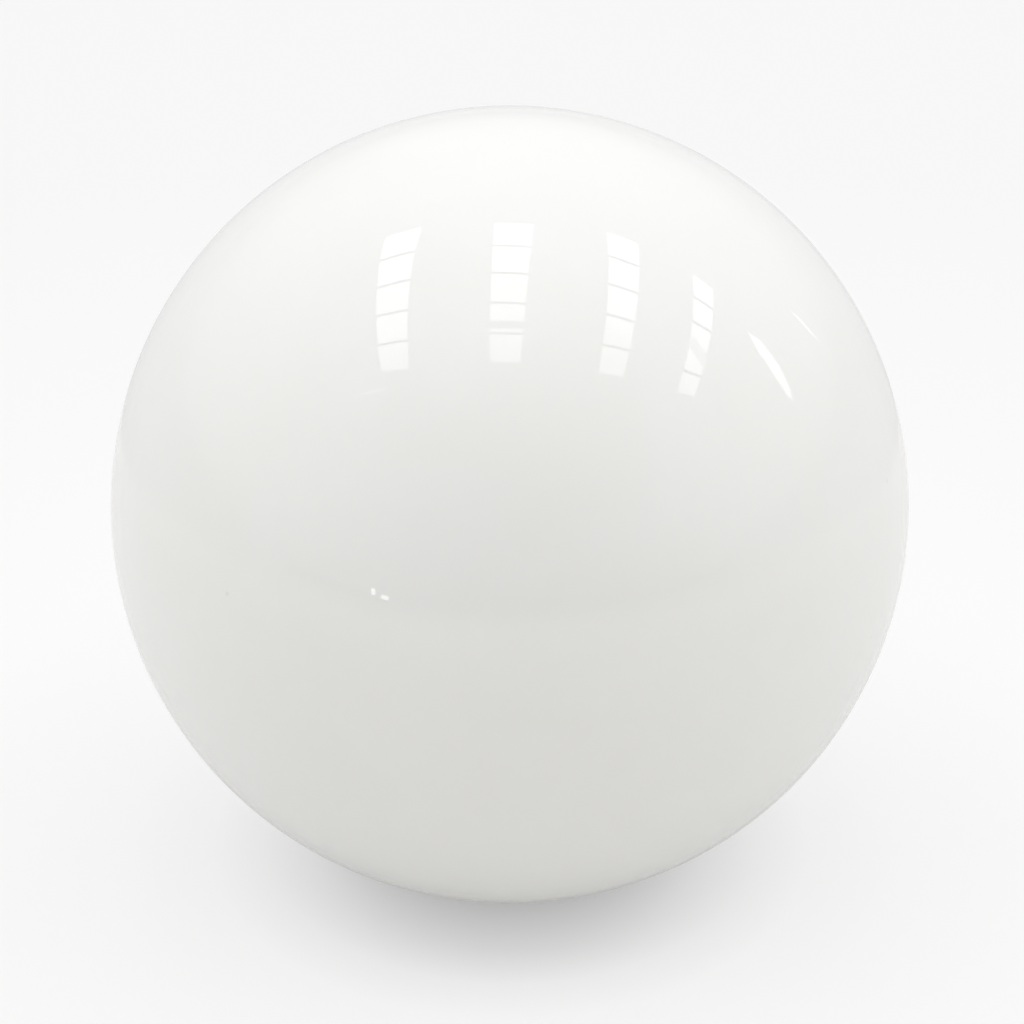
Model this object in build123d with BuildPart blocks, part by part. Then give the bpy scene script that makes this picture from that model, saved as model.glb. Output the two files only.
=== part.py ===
"""Cue ball for pool: one solid ball, cast in a single pour of phenolic resin, ground and polished.

The ball has no skin, core, seam, insert or marking. A half disc, the ball's section on one side of
its vertical axis, is turned a full circle, as a lathe or a ball grinder leaves it.

Millimetres, +Z up. The origin is the ball's centre, so the table lies half a diameter below it.
"""

import os

from build123d import *

# Driving dimensions
BALL_DIAMETER = 57.15  # 2 1/4 in, the regulation pool ball
REGULATION_DENSITY = 1.70e-3  # g/mm3, cast phenolic resin

ball_radius = BALL_DIAMETER / 2
north_pole = (0, ball_radius)
equator = (ball_radius, 0)
south_pole = (0, -ball_radius)

# Ball: the half disc on the +X side of the axis, revolved about it
with BuildPart() as ball:
    with BuildSketch(Plane.XZ) as half_section:
        with BuildLine():
            ThreePointArc(north_pole, equator, south_pole)
            Line(south_pole, north_pole)
        make_face()
    revolve(axis=Axis.Z)
ball.part.label = "ball"

os.makedirs("parts", exist_ok=True)
export_step(ball.part, "parts/ball.step")

print(f"ball: diameter {BALL_DIAMETER} mm, mass {ball.part.volume * REGULATION_DENSITY:.1f} g")
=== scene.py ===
"""Looks of the cue ball: one ball of polished white phenolic resin on a pale table under roof lights.

Metres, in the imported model's frame: +Z up, the ball's centre at the origin, so the table lies one
radius below it. The camera stands on the -Y side, so +Y is behind the ball.
"""

import logging
import math
from collections.abc import Mapping, Sequence
from dataclasses import dataclass
from enum import Enum

import bmesh
import bpy
from mathutils import Matrix, Vector


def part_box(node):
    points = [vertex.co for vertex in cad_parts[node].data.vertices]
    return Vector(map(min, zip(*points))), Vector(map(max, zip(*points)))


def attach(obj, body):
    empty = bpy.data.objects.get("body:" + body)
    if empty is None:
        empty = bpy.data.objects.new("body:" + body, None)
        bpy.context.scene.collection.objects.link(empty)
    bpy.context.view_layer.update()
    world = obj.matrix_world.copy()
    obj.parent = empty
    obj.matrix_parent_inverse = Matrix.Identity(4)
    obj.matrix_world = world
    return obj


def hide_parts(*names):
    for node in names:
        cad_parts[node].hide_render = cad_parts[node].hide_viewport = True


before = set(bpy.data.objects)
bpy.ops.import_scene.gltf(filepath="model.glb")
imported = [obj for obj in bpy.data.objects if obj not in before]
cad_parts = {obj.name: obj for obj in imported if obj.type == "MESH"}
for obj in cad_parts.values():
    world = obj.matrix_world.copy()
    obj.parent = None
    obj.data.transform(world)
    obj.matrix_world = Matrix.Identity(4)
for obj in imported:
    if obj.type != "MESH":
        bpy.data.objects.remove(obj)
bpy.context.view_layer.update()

log = logging.getLogger("cue_ball")

MM = 0.001
NEARLY_NOTHING = 1e-6  # metres, less than any length here

Colour = tuple[float, float, float, float]


def linear(srgb_hex: str) -> Colour:
    """Turns an sRGB hex colour to the linear one that Blender's sockets take.

    Args:
        srgb_hex: a colour such as "#F0EFEA".

    Returns:
        Red, green, blue and an alpha of 1, each from 0 to 1.
    """
    channels = [int(srgb_hex[start : start + 2], 16) / 255 for start in (1, 3, 5)]
    red, green, blue = (c / 12.92 if c <= 0.04045 else ((c + 0.055) / 1.055) ** 2.4 for c in channels)
    return red, green, blue, 1.0


def cells_of(size_mm: float) -> float:
    """Scale of a texture on Object coordinates, in metres, whose cells are size_mm across."""
    return 1.0 / (size_mm * MM)


def add_node(
    tree: bpy.types.NodeTree,
    kind: str,
    settings: Mapping[str, object],
    links: Mapping[str, bpy.types.NodeSocket],
) -> bpy.types.Node:
    """Adds a node to a tree, sets it up and links its inputs.

    Args:
        tree: the material's or the world's node tree.
        kind: the node's type, such as "ShaderNodeMix".
        settings: values, each by the name of a property or the identifier of an input.
        links: outputs, each by the identifier of the input that it feeds.

    Returns:
        The new node.
    """
    node = tree.nodes.new(kind)
    for name, value in settings.items():
        if hasattr(node, name):
            setattr(node, name, value)
    inputs = {socket.identifier: socket for socket in node.inputs}
    for name, value in settings.items():
        if not hasattr(node, name):
            inputs[name].default_value = value
    for name, output in links.items():
        tree.links.new(output, inputs[name])
    return node


def add_ramp(
    tree: bpy.types.NodeTree,
    along: bpy.types.NodeSocket,
    positions: Sequence[float],
    greys: Sequence[float],
) -> bpy.types.NodeSocket:
    """Adds a ramp of greys, which may be brighter than 1.

    Args:
        tree: the material's or the world's node tree.
        along: the place on the ramp, from 0 to 1.
        positions: where each grey stands on the ramp, in rising order.
        greys: the greys.

    Returns:
        The ramp's colour.
    """
    node = add_node(tree, "ShaderNodeValToRGB", {}, {"Fac": along})
    stops = node.color_ramp.elements
    while len(stops) < len(positions):
        stops.new(1.0)
    for stop, position, grey in zip(stops, positions, greys):
        stop.position = position
        stop.color = (grey, grey, grey, 1.0)
    return node.outputs["Color"]


def new_material(name: str) -> bpy.types.Material:
    """Makes an empty node material.

    Args:
        name: its name.

    Returns:
        The material.
    """
    made = bpy.data.materials.new(name)
    made.use_nodes = True
    made.node_tree.nodes.clear()
    return made


def object_from(bm: bmesh.types.BMesh, name: str, material: bpy.types.Material) -> bpy.types.Object:
    """Makes a scene object of a bmesh, and frees the bmesh.

    Args:
        bm: the finished shape, already in its place.
        name: the name of the object and its mesh.
        material: its one material.

    Returns:
        The object, at the origin, unturned and unscaled.
    """
    mesh = bpy.data.meshes.new(name)
    bm.to_mesh(mesh)
    bm.free()
    mesh.materials.append(material)
    made = bpy.data.objects.new(name, mesh)
    bpy.context.scene.collection.objects.link(made)
    return made


# Finishes


@dataclass(frozen=True)
class PolishedPhenolicResin:
    """White phenolic resin: cast solid, cured hard, ground round, polished with finer and finer grit.

    It gives the eye a dense white, faintly warm, that lets light in a little way, under a gloss sharp
    enough to mirror the bars between two roof panes. Seen close, the white is softly clouded where
    the resin flowed in the mould, and a few pale grey specks, small as dust, lie in it.

    Attributes:
        white: its colour where it is clear of clouds.
        clouded_white: its colour in the middle of a cloud.
        speck_grey: the specks' colour.
        ior: its refractive index.
        polish: roughness where the polish is best.
        haze: roughness where the polish is faintly hazy.
        speck_roughness: roughness of a speck, which polishes less well than the resin.
        cloud_mm: how wide a cloud is.
        haze_mm: how wide a hazy patch is.
        speck_spacing_mm: how far apart the specks lie.
        speck_mm: how wide a speck is, drawn coarser than dust so that it shows.
        speck_core: share of a speck's width that has its full colour.
        scatter_share: share of the light that goes in and comes out again close by.
        scatter_mm: how far it goes.
    """

    white: str = "#F1F1F0"
    clouded_white: str = "#F0F0EE"
    speck_grey: str = "#E3E2DE"
    ior: float = 1.6
    polish: float = 0.0
    haze: float = 0.02
    speck_roughness: float = 0.25
    cloud_mm: float = 12.0
    haze_mm: float = 4.0
    speck_spacing_mm: float = 9.0
    speck_mm: float = 0.5
    speck_core: float = 0.3
    scatter_share: float = 0.1
    scatter_mm: float = 1.0

    def material(self) -> bpy.types.Material:
        """Builds the resin's material, patterned on Object coordinates.

        Returns:
            The material.
        """
        made = new_material("phenolic_resin_cast_ground_and_polished")
        tree = made.node_tree
        place = add_node(tree, "ShaderNodeTexCoord", {}, {}).outputs["Object"]
        specks = self.specks(tree, place)
        clouds = add_node(
            tree,
            "ShaderNodeTexNoise",
            {"Scale": cells_of(self.cloud_mm), "Detail": 3.0, "Roughness": 0.55, "Distortion": 0.8},
            {"Vector": place},
        )
        cloudiness = add_node(
            tree,
            "ShaderNodeMapRange",
            {"interpolation_type": "SMOOTHSTEP", "From Min": 0.35, "From Max": 0.65},
            {"Value": clouds.outputs["Fac"]},
        )
        whites = add_node(
            tree,
            "ShaderNodeMix",
            {"data_type": "RGBA", "A_Color": linear(self.white), "B_Color": linear(self.clouded_white)},
            {"Factor_Float": cloudiness.outputs["Result"]},
        )
        colour = add_node(
            tree,
            "ShaderNodeMix",
            {"data_type": "RGBA", "B_Color": linear(self.speck_grey)},
            {"Factor_Float": specks, "A_Color": whites.outputs[2]},
        )
        buffing = add_node(
            tree,
            "ShaderNodeTexNoise",
            {"Scale": cells_of(self.haze_mm), "Detail": 4.0, "Roughness": 0.6},
            {"Vector": place},
        )
        gloss = add_node(
            tree,
            "ShaderNodeMapRange",
            {"From Min": 0.3, "From Max": 0.7, "To Min": self.polish, "To Max": self.haze},
            {"Value": buffing.outputs["Fac"]},
        )
        roughness = add_node(
            tree,
            "ShaderNodeMix",
            {"B_Float": self.speck_roughness},
            {"Factor_Float": specks, "A_Float": gloss.outputs["Result"]},
        )
        resin = add_node(
            tree,
            "ShaderNodeBsdfPrincipled",
            {
                "IOR": self.ior,
                "Subsurface Weight": self.scatter_share,
                "Subsurface Radius": (1.0, 0.95, 0.8),
                "Subsurface Scale": self.scatter_mm * MM,
            },
            {"Base Color": colour.outputs[2], "Roughness": roughness.outputs[0]},
        )
        add_node(tree, "ShaderNodeOutputMaterial", {}, {"Surface": resin.outputs["BSDF"]})
        return made

    def specks(self, tree: bpy.types.NodeTree, place: bpy.types.NodeSocket) -> bpy.types.NodeSocket:
        """Adds the specks: little soft-edged grains, one in each cell of a loose 3-D scatter.

        Args:
            tree: the material's node tree.
            place: the Object coordinates.

        Returns:
            An output that is 1 in a speck and 0 outside it.
        """
        grains = add_node(
            tree, "ShaderNodeTexVoronoi", {"Scale": cells_of(self.speck_spacing_mm)}, {"Vector": place}
        )
        radius = 0.5 * self.speck_mm / self.speck_spacing_mm
        core = add_node(
            tree,
            "ShaderNodeMapRange",
            {"From Min": radius, "From Max": self.speck_core * radius, "To Min": 0.0, "To Max": 1.0},
            {"Value": grains.outputs["Distance"]},
        )
        return core.outputs["Result"]


@dataclass(frozen=True)
class MattLaminate:
    """Pale decor laminate, pressed between matt plates.

    It gives the eye an even off-white. Its soft contact shadow is partly real and mostly painted: what
    the camera sees is a dark matt grey lifted by a painted glow that falls off under the ball, over a
    wider stretch to the sides than in front. The ball gets back less light, as from a greyer top with a
    painted glow, and least from in front, where the top is painted darker and warmer as painted shade,
    for the weaker, warmer light that falls on the table there.

    Attributes:
        seen: its colour to the camera, a dark matt grey under the painted glow.
        seen_glow_mm: distances from the point under the ball, at which the painted glow is given.
        seen_glow_ahead: its painted glow to the camera at those distances, in front of the ball and behind
            it.
        seen_glow_beside: its painted glow to the camera at those distances, to the left and right.
        bounce: its colour to the ball.
        bounce_ahead: its colour to the ball in front, painted darker and warmer as shade where the light on
            it is blocked.
        open_to: how far in front of the ball that light is still open.
        blocked_from: how far in front of the ball it is as blocked as it gets.
        bounce_glow_mm: distances at which its glow to the ball is given.
        bounce_glow: its painted glow to the ball at those distances.
    """

    seen: str = "#7C7C7C"
    # Painted contact shadow: the camera's glow is lowest under the ball and rises outward.
    seen_glow_mm: tuple[float, ...] = (0.0, 11.0, 15.0, 19.0, 23.0, 29.0, 50.0, 80.0, 143.0)
    seen_glow_ahead: tuple[float, ...] = (0.10, 0.43, 0.54, 0.69, 0.745, 0.745, 0.74, 0.72, 0.70)
    seen_glow_beside: tuple[float, ...] = (0.10, 0.43, 0.57, 0.645, 0.70, 0.715, 0.738, 0.722, 0.70)
    bounce: str = "#CBCBCA"
    # Painted shade: the ball sees the table darker and warmer in front of it.
    bounce_ahead: str = "#C5C4BE"
    open_to: float = 0.01
    blocked_from: float = 0.08
    # Painted light: a glow that the table gives the ball, by distance from under it.
    bounce_glow_mm: tuple[float, ...] = (20.0, 60.0, 120.0, 240.0, 480.0)
    bounce_glow: tuple[float, ...] = (0.17, 0.21, 0.19, 0.29, 0.06)

    def bounce_colour(self, tree: bpy.types.NodeTree) -> bpy.types.NodeSocket:
        """Adds the table's colour to the ball, with painted shade that darkens and warms it toward the
        front.

        Args:
            tree: the material's node tree.

        Returns:
            The colour.
        """
        place = add_node(tree, "ShaderNodeTexCoord", {}, {}).outputs["Object"]
        split = add_node(tree, "ShaderNodeSeparateXYZ", {}, {"Vector": place})
        blocked = add_node(
            tree,
            "ShaderNodeMapRange",
            {
                "interpolation_type": "SMOOTHSTEP",
                "From Min": -self.open_to,
                "From Max": -self.blocked_from,
            },
            {"Value": split.outputs["Y"]},
        )
        colour = add_node(
            tree,
            "ShaderNodeMix",
            {"data_type": "RGBA", "A_Color": linear(self.bounce), "B_Color": linear(self.bounce_ahead)},
            {"Factor_Float": blocked.outputs["Result"]},
        )
        return colour.outputs[2]

    def seen_glow(self, tree: bpy.types.NodeTree, contact: Vector) -> bpy.types.NodeSocket:
        """Adds the camera's painted glow, by distance and direction from under the ball: a painted shadow.

        Args:
            tree: the material's node tree.
            contact: the point under the ball.

        Returns:
            The glow, as a colour.
        """
        place = add_node(tree, "ShaderNodeTexCoord", {}, {}).outputs["Object"]
        offset = add_node(
            tree, "ShaderNodeVectorMath", {"operation": "SUBTRACT", "Vector_001": contact}, {"Vector": place}
        )
        heading = add_node(
            tree, "ShaderNodeVectorMath", {"operation": "NORMALIZE"}, {"Vector": offset.outputs["Vector"]}
        )
        sideways = add_node(
            tree, "ShaderNodeSeparateXYZ", {}, {"Vector": heading.outputs["Vector"]}
        ).outputs["X"]
        beside_share = add_node(
            tree, "ShaderNodeMath", {"operation": "MULTIPLY"}, {"Value": sideways, "Value_001": sideways}
        )
        glow = add_node(
            tree,
            "ShaderNodeMix",
            {"data_type": "RGBA"},
            {
                "Factor_Float": beside_share.outputs["Value"],
                "A_Color": self.glow_round(tree, contact, self.seen_glow_mm, self.seen_glow_ahead),
                "B_Color": self.glow_round(tree, contact, self.seen_glow_mm, self.seen_glow_beside),
            },
        )
        return glow.outputs[2]

    def glowing(
        self, tree: bpy.types.NodeTree, matt: bpy.types.Node, glow: bpy.types.NodeSocket
    ) -> bpy.types.NodeSocket:
        """Adds a glow to a matt surface.

        Args:
            tree: the material's node tree.
            matt: the matt surface's shader.
            glow: how brightly it shines of itself, as a colour.

        Returns:
            The output of both together.
        """
        shine = add_node(tree, "ShaderNodeEmission", {}, {"Color": glow})
        both = add_node(
            tree,
            "ShaderNodeAddShader",
            {},
            {"Shader": matt.outputs["BSDF"], "Shader_001": shine.outputs["Emission"]},
        )
        return both.outputs["Shader"]

    def glow_round(
        self,
        tree: bpy.types.NodeTree,
        contact: Vector,
        distances_mm: tuple[float, ...],
        glows: tuple[float, ...],
    ) -> bpy.types.NodeSocket:
        """Adds a glow by distance from the point under the ball.

        Args:
            tree: the material's node tree.
            contact: the point under the ball.
            distances_mm: the distances at which the glow is given.
            glows: the glow at each.

        Returns:
            The glow, as a colour.
        """
        place = add_node(tree, "ShaderNodeTexCoord", {}, {}).outputs["Object"]
        away = add_node(
            tree,
            "ShaderNodeVectorMath",
            {"operation": "DISTANCE", "Vector_001": contact},
            {"Vector": place},
        )
        furthest = distances_mm[-1]
        share = add_node(
            tree,
            "ShaderNodeMath",
            {"operation": "DIVIDE", "Value_001": furthest * MM},
            {"Value": away.outputs["Value"]},
        )
        shares = [distance / furthest for distance in distances_mm]
        return add_ramp(tree, share.outputs["Value"], shares, glows)

    def material(self, contact: Vector) -> bpy.types.Material:
        """Builds the table top's material.

        Args:
            contact: the point where the ball touches the table.

        Returns:
            The material.
        """
        made = new_material("laminate_pale_matt_painted_shadow")
        tree = made.node_tree
        # The ball sees a greyer copy of the top with a painted glow; the camera sees a darker grey whose
        # painted glow paints the contact shadow.
        bounce_glow = self.glow_round(tree, contact, self.bounce_glow_mm, self.bounce_glow)
        bounced = add_node(tree, "ShaderNodeBsdfDiffuse", {}, {"Color": self.bounce_colour(tree)})
        seen = add_node(tree, "ShaderNodeBsdfDiffuse", {"Color": linear(self.seen)}, {})
        to_camera = add_node(tree, "ShaderNodeLightPath", {}, {}).outputs["Is Camera Ray"]
        top = add_node(
            tree,
            "ShaderNodeMixShader",
            {},
            {
                "Fac": to_camera,
                "Shader": self.glowing(tree, bounced, bounce_glow),
                "Shader_001": self.glowing(tree, seen, self.seen_glow(tree, contact)),
            },
        )
        add_node(tree, "ShaderNodeOutputMaterial", {}, {"Surface": top.outputs["Shader"]})
        return made


@dataclass(frozen=True)
class OpalAcrylic:
    """Opal acrylic sheet, extruded, with daylight over it and dust on it.

    In the ball's gloss it gives the eye flat white panes with sharp edges. The dust lies thicker
    toward the front, where it dims the panes a little, and is streaked along them.

    Attributes:
        clean_glow: brightness of a pane with little dust.
        dusty_glow: brightness of the dustiest pane.
        clean_from: how far behind the ball the panes are clean.
        dusty_from: how far behind it they are dustiest, so in front where it is negative.
        streak_glow: how far the streaks change the brightness, up and down.
        streak_mm: how wide a streak is.
        streak_stretch: how many times as long as wide it is.
    """

    clean_glow: float = 3.0
    dusty_glow: float = 2.55
    clean_from: float = -0.3
    dusty_from: float = -1.0
    streak_glow: float = 0.12
    streak_mm: float = 60.0
    streak_stretch: float = 4.0

    def material(self) -> bpy.types.Material:
        """Builds the panes' material.

        Returns:
            The material.
        """
        made = new_material("acrylic_extruded_opal_dusty")
        tree = made.node_tree
        place = add_node(tree, "ShaderNodeTexCoord", {}, {}).outputs["Object"]
        split = add_node(tree, "ShaderNodeSeparateXYZ", {}, {"Vector": place})
        fading = add_node(
            tree,
            "ShaderNodeMapRange",
            {
                "From Min": self.dusty_from,
                "From Max": self.clean_from,
                "To Min": self.dusty_glow,
                "To Max": self.clean_glow,
            },
            {"Value": split.outputs["Y"]},
        )
        drawn_out = add_node(
            tree,
            "ShaderNodeVectorMath",
            {"operation": "DIVIDE", "Vector_001": (1.0, self.streak_stretch, 1.0)},
            {"Vector": place},
        )
        streaks = add_node(
            tree,
            "ShaderNodeTexNoise",
            {"Scale": cells_of(self.streak_mm), "Detail": 3.0},
            {"Vector": drawn_out.outputs["Vector"]},
        )
        change = add_node(
            tree,
            "ShaderNodeMapRange",
            {"From Min": 0.3, "From Max": 0.7, "To Min": -self.streak_glow, "To Max": self.streak_glow},
            {"Value": streaks.outputs["Fac"]},
        )
        glow = add_node(
            tree,
            "ShaderNodeMath",
            {"operation": "ADD"},
            {"Value": fading.outputs["Result"], "Value_001": change.outputs["Result"]},
        )
        shine = add_node(tree, "ShaderNodeEmission", {}, {"Strength": glow.outputs["Value"]})
        add_node(tree, "ShaderNodeOutputMaterial", {}, {"Surface": shine.outputs["Emission"]})
        return made


@dataclass(frozen=True)
class Glow:
    """A plain surface that only shines, or a matt one whose light is given as a shine.

    Attributes:
        name: the name of its material.
        brightness: how brightly it shines.
    """

    name: str
    brightness: float

    def material(self) -> bpy.types.Material:
        """Builds the shining material.

        Returns:
            The material.
        """
        made = new_material(self.name)
        tree = made.node_tree
        shine = add_node(tree, "ShaderNodeEmission", {"Strength": self.brightness}, {})
        add_node(tree, "ShaderNodeOutputMaterial", {}, {"Surface": shine.outputs["Emission"]})
        return made


# The object


@dataclass
class CueBall:
    """The whole object: one solid resin ball, drawn as a cube's grid swelled to a sphere.

    Attributes:
        radius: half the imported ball's diameter, in metres.
        squares: grid squares along each edge of the starting cube.
    """

    radius: float
    squares: int = 96

    @classmethod
    def from_frame(cls) -> "CueBall":
        """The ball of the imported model's size."""
        low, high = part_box("ball")
        return cls(radius=max(high - low) / 2)

    def mesh(self) -> bmesh.types.BMesh:
        """Swells a finely divided cube to the ball, so that it has no poles and its squares are even.

        Returns:
            The ball's closed skin, centred on the origin.
        """
        bm = bmesh.new()
        bmesh.ops.create_cube(bm, size=2.0)
        bmesh.ops.subdivide_edges(bm, edges=bm.edges, cuts=self.squares - 1, use_grid_fill=True)
        for vert in bm.verts:
            # Equal angles between grid lines, seen from the centre, in place of equal distances
            even = Vector(math.tan(along * math.pi / 4) for along in vert.co)
            vert.co = even.normalized() * self.radius
        for face in bm.faces:
            face.smooth = True
        bmesh.ops.recalc_face_normals(bm, faces=bm.faces)
        return bm

    def build(self, finish: PolishedPhenolicResin) -> bpy.types.Object:
        """Makes the ball, dressed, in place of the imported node.

        Args:
            finish: what the ball is made of.

        Returns:
            The ball's object.
        """
        ball = object_from(self.mesh(), "cue_ball", finish.material())
        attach(ball, "root")
        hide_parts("ball")
        return ball


# The studio


class SeenBy(Enum):
    """What sees a piece of the stage."""

    EVERYTHING = "everything"
    ALL_BUT_CAMERA = "everything but the camera"
    GLOSS = "the ball's gloss alone"


def put_on_stage(piece: bpy.types.Object, seen_by: SeenBy) -> bpy.types.Object:
    """Says what sees a piece of the stage.

    Args:
        piece: the piece.
        seen_by: what sees it.

    Returns:
        The same piece.
    """
    piece.visible_camera = seen_by is SeenBy.EVERYTHING
    piece.visible_diffuse = seen_by is not SeenBy.GLOSS
    piece.visible_shadow = seen_by is not SeenBy.GLOSS
    return piece


@dataclass
class TableTop:
    """The pale table that the ball lies on.

    Attributes:
        level: height of its surface.
        reach: its radius.
        segments: straight edges round its rim.
    """

    level: float
    reach: float = 2.5
    segments: int = 128

    def build(self, finish: MattLaminate) -> bpy.types.Object:
        """Makes the table top, a wide disc.

        Args:
            finish: what it is made of.

        Returns:
            Its object.
        """
        bm = bmesh.new()
        bmesh.ops.create_circle(bm, cap_ends=True, segments=self.segments, radius=self.reach)
        bmesh.ops.translate(bm, verts=bm.verts, vec=(0.0, 0.0, self.level))
        bmesh.ops.recalc_face_normals(bm, faces=bm.faces)
        contact = Vector((0.0, 0.0, self.level))
        return put_on_stage(object_from(bm, "table_top", finish.material(contact)), SeenBy.EVERYTHING)


@dataclass(frozen=True)
class Curtain:
    """A low curtain on half an oval: a glowing sheet for a painted reflection.

    Attributes:
        half_width: half the oval's width.
        depth: how far behind its ends its middle is, so in front where it is negative.
        height: how high it stands over the table.
    """

    half_width: float
    depth: float
    height: float


@dataclass
class TableEdge:
    """What stands past the table's edge: two low curtains round the ball, one in front, one behind.

    Only the ball's gloss sees them: glowing sheets that paint a reflection past the table's edge, darker
    in front than behind, which gives the thin line where the table ends.

    Attributes:
        level: height of the table.
        in_front: the curtain in front of the ball.
        behind: the one behind it.
        middle: how far behind the ball the curtains' ends are, so in front where it is negative.
        segments: straight stretches round the whole oval.
    """

    level: float
    in_front: Curtain = Curtain(half_width=0.86, depth=-0.49, height=0.029)
    behind: Curtain = Curtain(half_width=0.372, depth=0.300, height=0.057)
    middle: float = -0.214
    segments: int = 192

    def build_curtain(self, name: str, curtain: Curtain, finish: Glow) -> bpy.types.Object:
        """Makes one curtain.

        Args:
            name: its name.
            curtain: its shape.
            finish: its glow.

        Returns:
            Its object.
        """
        bm = bmesh.new()
        circle = bmesh.ops.create_circle(bm, segments=self.segments, radius=1.0)
        ahead = [vert for vert in circle["verts"] if vert.co.y < -NEARLY_NOTHING]
        bmesh.ops.delete(bm, geom=ahead, context="VERTS")
        bmesh.ops.scale(bm, verts=bm.verts, vec=(curtain.half_width, curtain.depth, 1.0))
        raised = bmesh.ops.extrude_edge_only(bm, edges=bm.edges)
        top = [part for part in raised["geom"] if isinstance(part, bmesh.types.BMVert)]
        bmesh.ops.translate(bm, verts=top, vec=(0.0, 0.0, curtain.height))
        bmesh.ops.translate(bm, verts=bm.verts, vec=(0.0, self.middle, self.level))
        return put_on_stage(object_from(bm, name, finish.material()), SeenBy.GLOSS)

    def build(self, front: Glow, rear: Glow) -> list[bpy.types.Object]:
        """Makes both curtains.

        Args:
            front: the glow of the one in front of the ball.
            rear: the glow of the one behind it.

        Returns:
            Their objects.
        """
        return [
            self.build_curtain("edge_in_front", self.in_front, front),
            self.build_curtain("edge_behind", self.behind, rear),
        ]


@dataclass(frozen=True)
class LightRow:
    """One row of opal panes in the roof, end to end.

    Attributes:
        x: how far right of the ball the row's middle is.
        y: how far behind the ball the row's middle is.
        width: width of its panes.
        length: length of the row.
        turn: degrees that the row is turned, anticlockwise seen from above.
        bar: how wide the bars between its panes look.
    """

    x: float
    y: float
    width: float
    length: float
    turn: float
    bar: float


@dataclass(frozen=True)
class Strut:
    """A flat strut hung just under a row, which hides a band of its panes.

    Attributes:
        x: how far right of the ball its middle is.
        y: how far behind the ball its middle is.
        width: how wide it is.
        length: how long it is.
        turn: degrees that it is turned, anticlockwise seen from above.
        brightness: how brightly its white paint shows, as painted light given as a glow.
    """

    x: float
    y: float
    width: float
    length: float
    turn: float
    brightness: float


@dataclass(frozen=True)
class Slit:
    """A long slit in the roof, seen at a slant, with pointed ends.

    Attributes:
        x: how far right of the ball its middle is.
        y: how far behind the ball its middle is.
        width: its width in the middle.
        length: its length.
        turn: degrees that it is turned from lying left to right, anticlockwise seen from above.
        brightness: how bright the daylight in it is.
    """

    x: float
    y: float
    width: float
    length: float
    turn: float
    brightness: float


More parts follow.
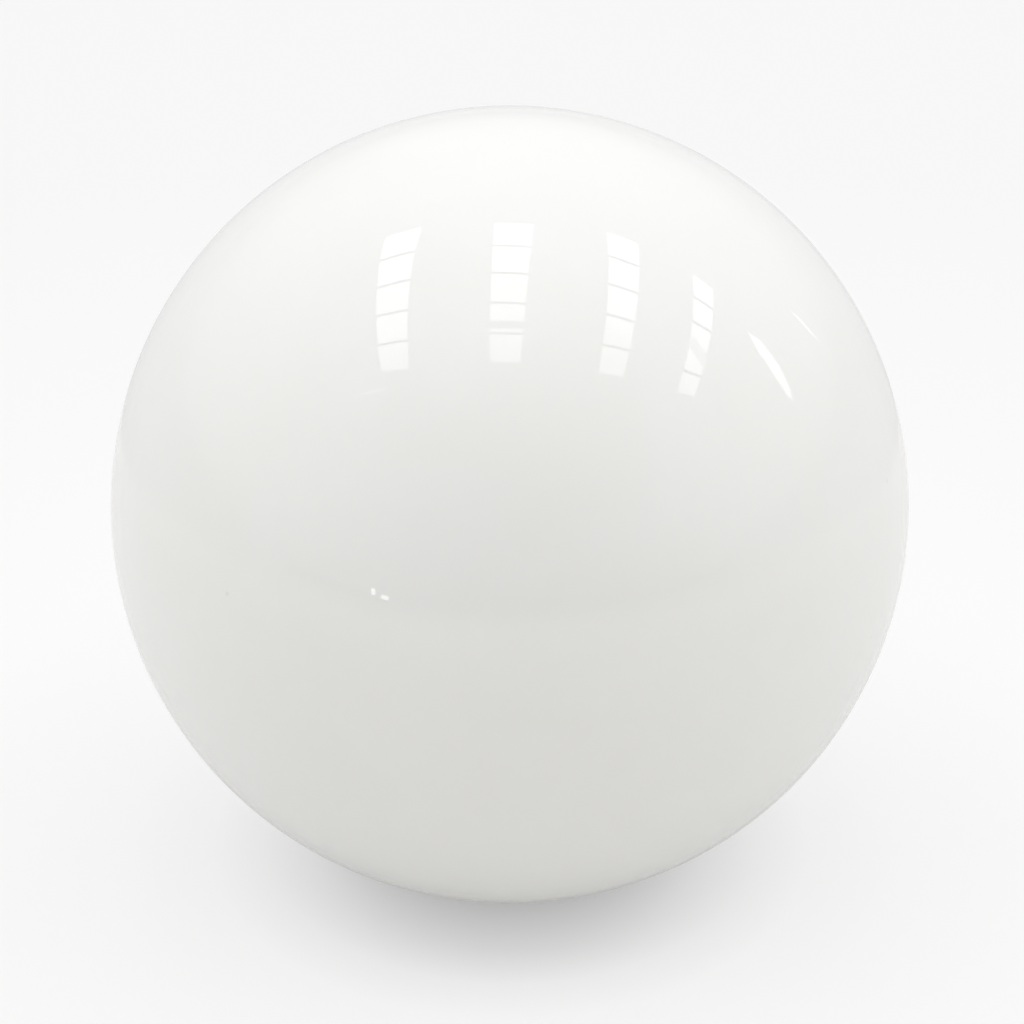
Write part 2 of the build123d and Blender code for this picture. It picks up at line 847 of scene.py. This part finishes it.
@dataclass
class RoofLights:
    """A flat roof's lights, which the ball's gloss mirrors: rows of panes, and slits further off.

    Attributes:
        height: the roof's height over the ball's centre.
        rows: the rows, from left to right.
        panes: panes in each row.
        bar_lift: how far over the panes the bars lie.
        struts: what hangs under the rows.
        strut_drop: how far under the panes it hangs.
        slits: the slits.
    """

    height: float = 2.86
    rows: tuple[LightRow, ...] = (
        LightRow(x=-1.49, y=0.18, width=0.50, length=2.58, turn=-10.9, bar=0.043),
        LightRow(x=-0.01, y=-0.02, width=0.42, length=2.40, turn=-2.7, bar=0.035),
        LightRow(x=1.43, y=0.06, width=0.44, length=2.62, turn=4.1, bar=0.043),
        LightRow(x=3.01, y=0.20, width=0.52, length=2.66, turn=9.4, bar=0.065),
    )
    panes: int = 5
    bar_lift: float = 0.005
    struts: tuple[Strut, ...] = (
        Strut(x=-0.06, y=-0.60, width=0.12, length=0.52, turn=88.0, brightness=1.1),
        Strut(x=3.06, y=-0.08, width=0.25, length=0.62, turn=64.5, brightness=1.85),
    )
    strut_drop: float = 0.01
    slits: tuple[Slit, ...] = (
        Slit(x=6.82, y=1.70, width=0.54, length=4.9, turn=6.5, brightness=3.0),
        Slit(x=10.0, y=7.22, width=0.15, length=6.8, turn=35.0, brightness=2.8),
        Slit(x=-2.47, y=-1.34, width=0.03, length=1.06, turn=-4.3, brightness=3.0),
    )

    def place(self, bm: bmesh.types.BMesh, part: LightRow | Strut | Slit, drop: float) -> None:
        """Turns a flat shape and moves it up to its place in the roof.

        Args:
            bm: the shape, lying round the origin.
            part: the part that says where it goes.
            drop: how far under the roof it hangs.
        """
        bmesh.ops.recalc_face_normals(bm, faces=bm.faces)
        turn = Matrix.Rotation(math.radians(part.turn), 4, "Z")
        move = Matrix.Translation((part.x, part.y, self.height - drop))
        bmesh.ops.transform(bm, matrix=move @ turn, verts=bm.verts)

    def build_row(self, number: int, row: LightRow, finish: OpalAcrylic) -> bpy.types.Object:
        """Makes one row's panes.

        Args:
            number: the row's number, for its name.
            row: the row.
            finish: what the panes are made of.

        Returns:
            The row's object.
        """
        bm = bmesh.new()
        pitch = row.length / self.panes
        for pane in range(self.panes):
            along = (pane + 0.5) * pitch - row.length / 2
            size = Matrix.Diagonal((row.width, pitch - row.bar, 1.0, 1.0))
            grid = bmesh.ops.create_grid(bm, x_segments=1, y_segments=1, size=0.5, matrix=size)
            bmesh.ops.translate(bm, verts=grid["verts"], vec=(0.0, along, 0.0))
        self.place(bm, row, 0.0)
        panes = object_from(bm, f"roof_light_{number}", finish.material())
        return put_on_stage(panes, SeenBy.ALL_BUT_CAMERA)

    def build_bars(self, number: int, row: LightRow, finish: Glow) -> bpy.types.Object:
        """Makes one row's bars, as a glowing strip behind the panes that shows between them: painted light.

        Args:
            number: the row's number, for its name.
            row: the row.
            finish: the bars' glow.

        Returns:
            The strip's object.
        """
        bm = bmesh.new()
        size = Matrix.Diagonal((row.width, row.length - row.bar, 1.0, 1.0))
        bmesh.ops.create_grid(bm, x_segments=1, y_segments=1, size=0.5, matrix=size)
        self.place(bm, row, -self.bar_lift)
        strip = object_from(bm, f"roof_bars_{number}", finish.material())
        return put_on_stage(strip, SeenBy.GLOSS)

    def build_strut(self, number: int, strut: Strut) -> bpy.types.Object:
        """Makes one strut, as the flat face that it turns to the ball.

        Args:
            number: the strut's number, for its name.
            strut: the strut.

        Returns:
            The strut's object.
        """
        bm = bmesh.new()
        size = Matrix.Diagonal((strut.width, strut.length, 1.0, 1.0))
        bmesh.ops.create_grid(bm, x_segments=1, y_segments=1, size=0.5, matrix=size)
        self.place(bm, strut, self.strut_drop)
        # Painted light: the strut's lit white is given as a glow.
        paint = Glow("steel_strut_white_painted_light", strut.brightness)
        flat = object_from(bm, f"roof_strut_{number}", paint.material())
        return put_on_stage(flat, SeenBy.GLOSS)

    def build_slit(self, number: int, slit: Slit) -> bpy.types.Object:
        """Makes one slit, as a stretched octagon.

        Args:
            number: the slit's number, for its name.
            slit: the slit.

        Returns:
            The slit's object.
        """
        bm = bmesh.new()
        bmesh.ops.create_circle(bm, cap_ends=True, segments=8, radius=0.5)
        bmesh.ops.scale(bm, verts=bm.verts, vec=(slit.length, slit.width, 1.0))
        self.place(bm, slit, 0.0)
        daylight = Glow("slit_open_to_daylight", slit.brightness)
        light = object_from(bm, f"roof_slit_{number}", daylight.material())
        return put_on_stage(light, SeenBy.GLOSS)

    def build(self, opal: OpalAcrylic, bars: Glow) -> list[bpy.types.Object]:
        """Makes all of the roof's parts.

        Args:
            opal: what the panes are made of.
            bars: the glow of the bars between them.

        Returns:
            The parts' objects.
        """
        made = []
        for number, row in enumerate(self.rows, start=1):
            made.append(self.build_row(number, row, opal))
            made.append(self.build_bars(number, row, bars))
        made += [self.build_strut(number, strut) for number, strut in enumerate(self.struts, start=1)]
        made += [self.build_slit(number, slit) for number, slit in enumerate(self.slits, start=1)]
        return made


@dataclass(frozen=True)
class FarLamp:
    """A small lamp far off across the hall, stood close by as a card that looks as big from the ball.

    Attributes:
        x: how far right of the ball the card is.
        y: how far behind the ball it is.
        z: how far over the ball's centre its middle is.
        width: its width.
        height: its height.
    """

    x: float
    y: float
    z: float
    width: float
    height: float


@dataclass
class FarLamps:
    """The far lamps, low down in front of the ball and to its left."""

    lamps: tuple[FarLamp, ...] = (
        FarLamp(x=-0.265, y=-0.371, z=0.007, width=0.010, height=0.013),
        FarLamp(x=-0.244, y=-0.386, z=0.000, width=0.016, height=0.009),
    )

    def build_lamp(self, number: int, lamp: FarLamp, finish: Glow) -> bpy.types.Object:
        """Makes one lamp's card, upright and facing the ball.

        Args:
            number: the lamp's number, for its name.
            lamp: the lamp.
            finish: its glow.

        Returns:
            The card's object.
        """
        bm = bmesh.new()
        size = Matrix.Diagonal((lamp.width, lamp.height, 1.0, 1.0))
        bmesh.ops.create_grid(bm, x_segments=1, y_segments=1, size=0.5, matrix=size)
        place = Vector((lamp.x, lamp.y, lamp.z))
        facing = (-place).to_track_quat("Z", "Y").to_matrix().to_4x4()
        bmesh.ops.transform(bm, matrix=Matrix.Translation(place) @ facing, verts=bm.verts)
        card = object_from(bm, f"far_lamp_{number}", finish.material())
        return put_on_stage(card, SeenBy.GLOSS)

    def build(self, finish: Glow) -> list[bpy.types.Object]:
        """Makes all the lamps' cards."""
        return [self.build_lamp(number, lamp, finish) for number, lamp in enumerate(self.lamps, start=1)]


@dataclass
class Hall:
    """Soft light from all round, by height over the horizon.

    Attributes:
        heights: degrees over the horizon at which the brightnesses are given.
        behind: brightness at each height behind the ball.
        in_front: brightness at each height in front of it.
        beside: brightness at each height to its left and right.
        past_the_table: what the camera sees beyond the table's edge.
    """

    heights: tuple[float, ...] = (0.0, 12.0, 30.0, 50.0, 70.0, 90.0)
    behind: tuple[float, ...] = (0.66, 0.81, 0.95, 1.14, 1.30, 1.30)
    in_front: tuple[float, ...] = (0.34, 0.34, 0.39, 0.62, 1.00, 1.30)
    beside: tuple[float, ...] = (0.84, 1.09, 1.29, 1.43, 1.38, 1.30)
    past_the_table: str = "#F7F7F7"

    def ramp(
        self, tree: bpy.types.NodeTree, rise: bpy.types.NodeSocket, glows: tuple[float, ...]
    ) -> bpy.types.NodeSocket:
        """Adds a ramp from the horizon up to overhead.

        Args:
            tree: the world's node tree.
            rise: the sine of the height over the horizon.
            glows: brightness at each of the heights.

        Returns:
            The ramp's colour.
        """
        positions = [math.sin(math.radians(height)) for height in self.heights]
        return add_ramp(tree, rise, positions, glows)

    def light(self, tree: bpy.types.NodeTree) -> bpy.types.NodeSocket:
        """Adds the light's brightness in every direction.

        Args:
            tree: the world's node tree.

        Returns:
            The brightness, as a colour.
        """
        direction = add_node(tree, "ShaderNodeTexCoord", {}, {}).outputs["Generated"]
        split = add_node(tree, "ShaderNodeSeparateXYZ", {}, {"Vector": direction})
        rise = split.outputs["Z"]
        rear_share = add_node(
            tree, "ShaderNodeMapRange", {"From Min": -1.0, "From Max": 1.0}, {"Value": split.outputs["Y"]}
        )
        front_and_rear = add_node(
            tree,
            "ShaderNodeMix",
            {"data_type": "RGBA"},
            {
                "Factor_Float": rear_share.outputs["Result"],
                "A_Color": self.ramp(tree, rise, self.in_front),
                "B_Color": self.ramp(tree, rise, self.behind),
            },
        )
        side_share = add_node(
            tree,
            "ShaderNodeMath",
            {"operation": "MULTIPLY"},
            {"Value": split.outputs["X"], "Value_001": split.outputs["X"]},
        )
        all_round = add_node(
            tree,
            "ShaderNodeMix",
            {"data_type": "RGBA"},
            {
                "Factor_Float": side_share.outputs["Value"],
                "A_Color": front_and_rear.outputs[2],
                "B_Color": self.ramp(tree, rise, self.beside),
            },
        )
        return all_round.outputs[2]

    def build(self) -> bpy.types.World:
        """Makes the world's light, which the camera doesn't see.

        Returns:
            The world.
        """
        world = bpy.data.worlds.new("hall")
        world.use_nodes = True
        tree = world.node_tree
        tree.nodes.clear()
        hall = add_node(tree, "ShaderNodeBackground", {}, {"Color": self.light(tree)})
        plain = add_node(tree, "ShaderNodeBackground", {"Color": linear(self.past_the_table)}, {})
        to_camera = add_node(tree, "ShaderNodeLightPath", {}, {}).outputs["Is Camera Ray"]
        seen = add_node(
            tree,
            "ShaderNodeMixShader",
            {},
            {
                "Fac": to_camera,
                "Shader": hall.outputs["Background"],
                "Shader_001": plain.outputs["Background"],
            },
        )
        add_node(tree, "ShaderNodeOutputWorld", {}, {"Surface": seen.outputs["Shader"]})
        bpy.context.scene.world = world
        return world


@dataclass
class Viewpoint:
    """Where the camera stands, in front of the ball and over it.

    Attributes:
        elevation: degrees over the table.
        distance: from the ball's centre.
        lens_mm: focal length, on a sensor 36 mm wide.
        aim: the point that it looks at.
    """

    elevation: float = 28.0
    distance: float = 0.200
    lens_mm: float = 97.2
    aim: Vector = Vector((0.15 * MM, 0.0, -0.6 * MM))

    def build(self) -> bpy.types.Object:
        """Makes the scene's camera.

        Returns:
            The camera's object.
        """
        data = bpy.data.cameras.new("camera")
        data.sensor_width = 36.0
        data.lens = self.lens_mm
        data.clip_start = 0.01
        data.clip_end = 20.0
        camera = bpy.data.objects.new("camera", data)
        rise = math.radians(self.elevation)
        toward_camera = Vector((0.0, -math.cos(rise), math.sin(rise)))
        camera.location = toward_camera * self.distance
        camera.rotation_mode = "QUATERNION"
        camera.rotation_quaternion = (self.aim - camera.location).to_track_quat("-Z", "Y")
        bpy.context.scene.collection.objects.link(camera)
        bpy.context.scene.camera = camera
        return camera


def main() -> None:
    """Builds the ball, then the studio round it."""
    logging.basicConfig(level=logging.INFO, format="%(name)s: %(message)s")
    bpy.context.scene.view_settings.view_transform = "Standard"
    ball = CueBall.from_frame()
    built = [ball.build(PolishedPhenolicResin()), TableTop(level=-ball.radius).build(MattLaminate())]
    # The curtains' glows are painted reflections, dark in front of the ball and pale behind it.
    built += TableEdge(level=-ball.radius).build(
        front=Glow("curtain_glow_dark_painted_reflection", brightness=0.40), rear=Glow("curtain_glow_pale_painted_reflection", brightness=0.77)
    )
    built += FarLamps().build(Glow("lamp_far_off", brightness=4.5))
    # The bars' glow is painted light, their lit grey given as a shine.
    built += RoofLights().build(OpalAcrylic(), bars=Glow("steel_bars_grey_painted_light", brightness=0.5))
    Hall().build()
    built.append(Viewpoint().build())
    for piece in built:
        log.info("%s", piece.name)


if __name__ == "__main__":
    main()
